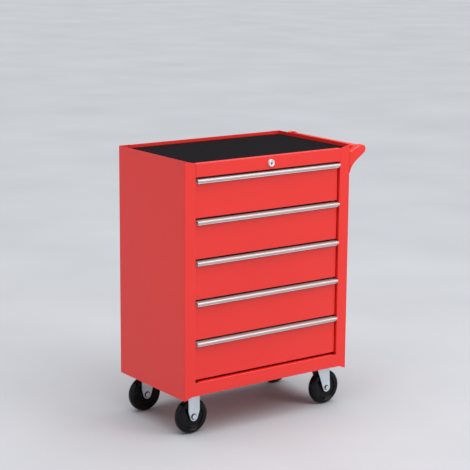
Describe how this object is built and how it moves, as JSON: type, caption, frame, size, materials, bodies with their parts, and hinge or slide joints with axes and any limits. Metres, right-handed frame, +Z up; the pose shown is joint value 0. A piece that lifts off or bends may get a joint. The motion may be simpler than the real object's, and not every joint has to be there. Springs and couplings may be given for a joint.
{
  "type": "tool cart",
  "caption": "Upright steel tool cabinet on casters: full-width drawers on extension slides, a matted top with a low rim, a front lock and a side push handle.",
  "frame": {"origin": "on the floor under the middle of the whole cabinet, handle and drawer pulls included", "axes": "+X to the side with the push handle, -Y to the drawer fronts, +Z up"},
  "size_m": [0.6138, 0.3366, 0.7595],
  "materials": {
    "paint_red": "satin powder coat",
    "mat_rubber": "matte, fine texture",
    "pull_aluminium": "satin anodised",
    "zinc_steel": "bright zinc plate",
    "chrome": "polished",
    "wheel_rubber": "satin, moulded",
    "nylon_guide": "moulded, uncoloured"
  },
  "bodies": {
    "cabinet": {"side_panel_left": "paint_red", "side_panel_right": "paint_red", "back_panel": "paint_red", "base_pan": "paint_red", "top_tray": "paint_red", "top_rail": "paint_red", "bottom_rail": "paint_red", "handle_ear_front": "paint_red", "handle_ear_rear": "paint_red", "handle_tube": "paint_red", "top_mat": "mat_rubber", "handle_studs_front": "zinc_steel", "handle_studs_rear": "zinc_steel", "slide_rack_left": "zinc_steel", "slide_rack_right": "zinc_steel", "rod_bracket": "zinc_steel", "lock_guide": "nylon_guide", "lock_housing": "chrome", "rigid_fork_front": "zinc_steel", "rigid_axle_front": "zinc_steel", "swivel_plate_front": "zinc_steel", "rigid_fork_rear": "zinc_steel", "rigid_axle_rear": "zinc_steel", "swivel_plate_rear": "zinc_steel"},
    "drawer_1": {"drawer_front_1": "paint_red", "drawer_box_1": "paint_red", "drawer_pull_1": "pull_aluminium"},
    "slides_1": {"slide_left_1": "zinc_steel", "slide_right_1": "zinc_steel"},
    "drawer_2": {"drawer_front_2": "paint_red", "drawer_box_2": "paint_red", "drawer_pull_2": "pull_aluminium"},
    "slides_2": {"slide_left_2": "zinc_steel", "slide_right_2": "zinc_steel"},
    "drawer_3": {"drawer_front_3": "paint_red", "drawer_box_3": "paint_red", "drawer_pull_3": "pull_aluminium"},
    "slides_3": {"slide_left_3": "zinc_steel", "slide_right_3": "zinc_steel"},
    "drawer_4": {"drawer_front_4": "paint_red", "drawer_box_4": "paint_red", "drawer_pull_4": "pull_aluminium"},
    "slides_4": {"slide_left_4": "zinc_steel", "slide_right_4": "zinc_steel"},
    "drawer_5": {"drawer_front_5": "paint_red", "drawer_box_5": "paint_red", "drawer_pull_5": "pull_aluminium"},
    "slides_5": {"slide_left_5": "zinc_steel", "slide_right_5": "zinc_steel"},
    "lock_cylinder": {"lock_plug": "chrome", "lock_rod": "zinc_steel"},
    "lock_bar": {"lock_bar": "zinc_steel"},
    "rigid_wheel_front": {"rigid_wheel_front": "wheel_rubber"},
    "swivel_front": {"swivel_fork_front": "zinc_steel", "swivel_axle_front": "zinc_steel"},
    "swivel_wheel_front": {"swivel_wheel_front": "wheel_rubber"},
    "rigid_wheel_rear": {"rigid_wheel_rear": "wheel_rubber"},
    "swivel_rear": {"swivel_fork_rear": "zinc_steel", "swivel_axle_rear": "zinc_steel"},
    "swivel_wheel_rear": {"swivel_wheel_rear": "wheel_rubber"}
  },
  "joints": [
    {"name": "drawer_1_slide", "type": "slide", "parent": "cabinet", "child": "drawer_1", "axis": [0, -1, 0], "range_m": [0, 0.28]},
    {"name": "slides_1_travel", "type": "slide", "parent": "cabinet", "child": "slides_1", "axis": [0, -1, 0], "range_m": [0, 0.141]},
    {"name": "drawer_2_slide", "type": "slide", "parent": "cabinet", "child": "drawer_2", "axis": [0, -1, 0], "range_m": [0, 0.28]},
    {"name": "slides_2_travel", "type": "slide", "parent": "cabinet", "child": "slides_2", "axis": [0, -1, 0], "range_m": [0, 0.141]},
    {"name": "drawer_3_slide", "type": "slide", "parent": "cabinet", "child": "drawer_3", "axis": [0, -1, 0], "range_m": [0, 0.28]},
    {"name": "slides_3_travel", "type": "slide", "parent": "cabinet", "child": "slides_3", "axis": [0, -1, 0], "range_m": [0, 0.141]},
    {"name": "drawer_4_slide", "type": "slide", "parent": "cabinet", "child": "drawer_4", "axis": [0, -1, 0], "range_m": [0, 0.28]},
    {"name": "slides_4_travel", "type": "slide", "parent": "cabinet", "child": "slides_4", "axis": [0, -1, 0], "range_m": [0, 0.141]},
    {"name": "drawer_5_slide", "type": "slide", "parent": "cabinet", "child": "drawer_5", "axis": [0, -1, 0], "range_m": [0, 0.28]},
    {"name": "slides_5_travel", "type": "slide", "parent": "cabinet", "child": "slides_5", "axis": [0, -1, 0], "range_m": [0, 0.141]},
    {"name": "lock_turn", "type": "hinge", "parent": "cabinet", "child": "lock_cylinder", "pos_m": [-0.0294, -0.1597, 0.732], "axis": [0, -1, 0], "range_deg": [0, 90]},
    {"name": "lock_bar_lift", "type": "slide", "parent": "cabinet", "child": "lock_bar", "axis": [0, 0, 1], "range_m": [0, 0.01272]},
    {"name": "rigid_wheel_front_spin", "type": "hinge", "parent": "cabinet", "child": "rigid_wheel_front", "pos_m": [-0.2569, -0.1137, 0.05], "axis": [0, 1, 0], "continuous": true},
    {"name": "swivel_front_turn", "type": "hinge", "parent": "cabinet", "child": "swivel_front", "pos_m": [0.1921, -0.1137, 0.1095], "axis": [0, 0, 1], "continuous": true},
    {"name": "swivel_wheel_front_spin", "type": "hinge", "parent": "swivel_front", "child": "swivel_wheel_front", "pos_m": [0.2051, -0.1137, 0.05], "axis": [0, 1, 0], "continuous": true},
    {"name": "rigid_wheel_rear_spin", "type": "hinge", "parent": "cabinet", "child": "rigid_wheel_rear", "pos_m": [-0.2569, 0.1223, 0.05], "axis": [0, 1, 0], "continuous": true},
    {"name": "swivel_rear_turn", "type": "hinge", "parent": "cabinet", "child": "swivel_rear", "pos_m": [0.1921, 0.1223, 0.1095], "axis": [0, 0, 1], "continuous": true},
    {"name": "swivel_wheel_rear_spin", "type": "hinge", "parent": "swivel_rear", "child": "swivel_wheel_rear", "pos_m": [0.2051, 0.1223, 0.05], "axis": [0, 1, 0], "continuous": true}
  ],
  "couplings": [
    {"joint": "slides_1_travel", "follows": "drawer_1_slide", "ratio": 0.5},
    {"joint": "slides_2_travel", "follows": "drawer_2_slide", "ratio": 0.5},
    {"joint": "slides_3_travel", "follows": "drawer_3_slide", "ratio": 0.5},
    {"joint": "slides_4_travel", "follows": "drawer_4_slide", "ratio": 0.5},
    {"joint": "slides_5_travel", "follows": "drawer_5_slide", "ratio": 0.5},
    {"joint": "lock_turn", "follows": "lock_bar_lift", "rad_per_m": 123.41}
  ]
}
